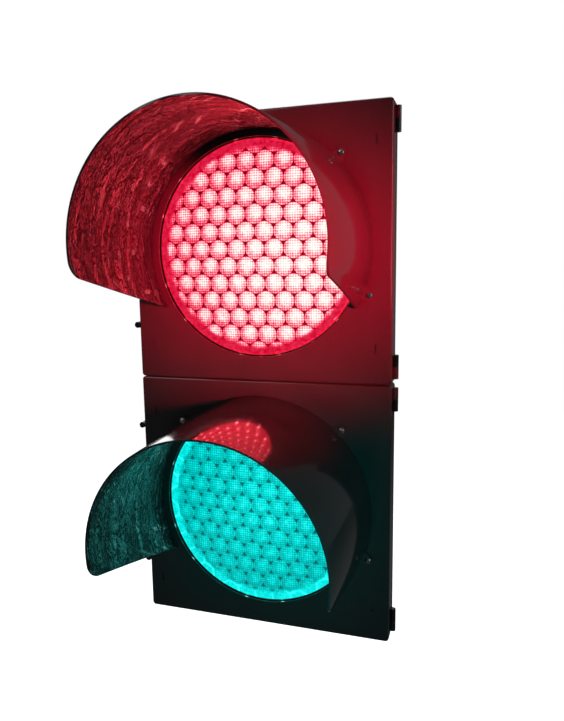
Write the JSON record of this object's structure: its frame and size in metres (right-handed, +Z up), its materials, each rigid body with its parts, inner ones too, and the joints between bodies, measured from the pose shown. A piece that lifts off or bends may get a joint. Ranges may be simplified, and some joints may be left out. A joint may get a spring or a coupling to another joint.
{
  "type": "traffic signal head",
  "caption": "Black traffic signal head: a red section over a green one, each a rear shell with a hinged door carrying an LED module and a cut-away visor.",
  "frame": {"origin": "centre of the bottom hub's flat face, on the vertical axis of the two hubs", "axes": "+Z up along the hubs' axis, front (lenses and visors) towards -Y, hinge side towards +X"},
  "size_m": [0.3814, 0.341, 0.7363],
  "materials": {
    "black_polycarbonate": "gloss",
    "black_rubber": "matte",
    "red_lens": "gloss, ribbed inside",
    "green_lens": "gloss, ribbed inside",
    "clear_acrylic": "clear",
    "grey_plastic": "satin",
    "circuit_board": "lacquered",
    "stainless_steel": "brushed",
    "terminal_grey": "satin",
    "lead_sheath": "satin"
  },
  "bodies": {
    "housing": {"upper_housing": "black_polycarbonate", "lower_housing": "black_polycarbonate", "section_seal": "black_rubber", "coupling_tube": "stainless_steel", "coupling_nut_upper": "stainless_steel", "coupling_nut_lower": "stainless_steel", "top_hub_plug": "black_polycarbonate", "cable_grommet": "black_rubber", "terminal_block": "terminal_grey", "upper_hinge_pin_top": "stainless_steel", "upper_hinge_pin_bottom": "stainless_steel", "upper_module_lead": "lead_sheath", "lower_hinge_pin_top": "stainless_steel", "lower_hinge_pin_bottom": "stainless_steel", "lower_module_lead": "lead_sheath"},
    "upper_door": {"upper_door": "black_polycarbonate", "upper_door_gasket": "black_rubber", "upper_lens": "red_lens", "upper_lens_gasket": "black_rubber", "upper_fresnel_lens": "clear_acrylic", "upper_led_board": "circuit_board", "upper_driver_board": "circuit_board", "upper_module_case": "grey_plastic", "upper_cable_gland": "grey_plastic", "upper_visor": "black_polycarbonate", "upper_visor_screw_1": "stainless_steel", "upper_visor_screw_2": "stainless_steel", "upper_visor_screw_3": "stainless_steel", "upper_visor_screw_4": "stainless_steel", "upper_module_clip_1": "stainless_steel", "upper_clip_screw_1": "stainless_steel", "upper_module_clip_2": "stainless_steel", "upper_clip_screw_2": "stainless_steel", "upper_module_clip_3": "stainless_steel", "upper_clip_screw_3": "stainless_steel"},
    "upper_latch_screw_top": {"upper_latch_screw_top": "black_polycarbonate"},
    "upper_latch_screw_bottom": {"upper_latch_screw_bottom": "black_polycarbonate"},
    "lower_door": {"lower_door": "black_polycarbonate", "lower_door_gasket": "black_rubber", "lower_lens": "green_lens", "lower_lens_gasket": "black_rubber", "lower_fresnel_lens": "clear_acrylic", "lower_led_board": "circuit_board", "lower_driver_board": "circuit_board", "lower_module_case": "grey_plastic", "lower_cable_gland": "grey_plastic", "lower_visor": "black_polycarbonate", "lower_visor_screw_1": "stainless_steel", "lower_visor_screw_2": "stainless_steel", "lower_visor_screw_3": "stainless_steel", "lower_visor_screw_4": "stainless_steel", "lower_module_clip_1": "stainless_steel", "lower_clip_screw_1": "stainless_steel", "lower_module_clip_2": "stainless_steel", "lower_clip_screw_2": "stainless_steel", "lower_module_clip_3": "stainless_steel", "lower_clip_screw_3": "stainless_steel"},
    "lower_latch_screw_top": {"lower_latch_screw_top": "black_polycarbonate"},
    "lower_latch_screw_bottom": {"lower_latch_screw_bottom": "black_polycarbonate"}
  },
  "joints": [
    {"name": "upper_door_hinge", "type": "hinge", "parent": "housing", "child": "upper_door", "pos_m": [0.1847, -0.05385, 0.546], "axis": [0, 0, 1], "range_deg": [0, 110], "deforming": ["upper_module_lead"]},
    {"name": "upper_latch_turn_top", "type": "hinge", "parent": "upper_door", "child": "upper_latch_screw_top", "pos_m": [-0.1877, -0.078, 0.651], "axis": [0, -1, 0], "range_deg": [0, 450]},
    {"name": "upper_latch_turn_bottom", "type": "hinge", "parent": "upper_door", "child": "upper_latch_screw_bottom", "pos_m": [-0.1877, -0.078, 0.441], "axis": [0, -1, 0], "range_deg": [0, 450]},
    {"name": "lower_door_hinge", "type": "hinge", "parent": "housing", "child": "lower_door", "pos_m": [0.1847, -0.05385, 0.186], "axis": [0, 0, 1], "range_deg": [0, 110], "deforming": ["lower_module_lead"]},
    {"name": "lower_latch_turn_top", "type": "hinge", "parent": "lower_door", "child": "lower_latch_screw_top", "pos_m": [-0.1877, -0.078, 0.291], "axis": [0, -1, 0], "range_deg": [0, 450]},
    {"name": "lower_latch_turn_bottom", "type": "hinge", "parent": "lower_door", "child": "lower_latch_screw_bottom", "pos_m": [-0.1877, -0.078, 0.081], "axis": [0, -1, 0], "range_deg": [0, 450]}
  ]
}
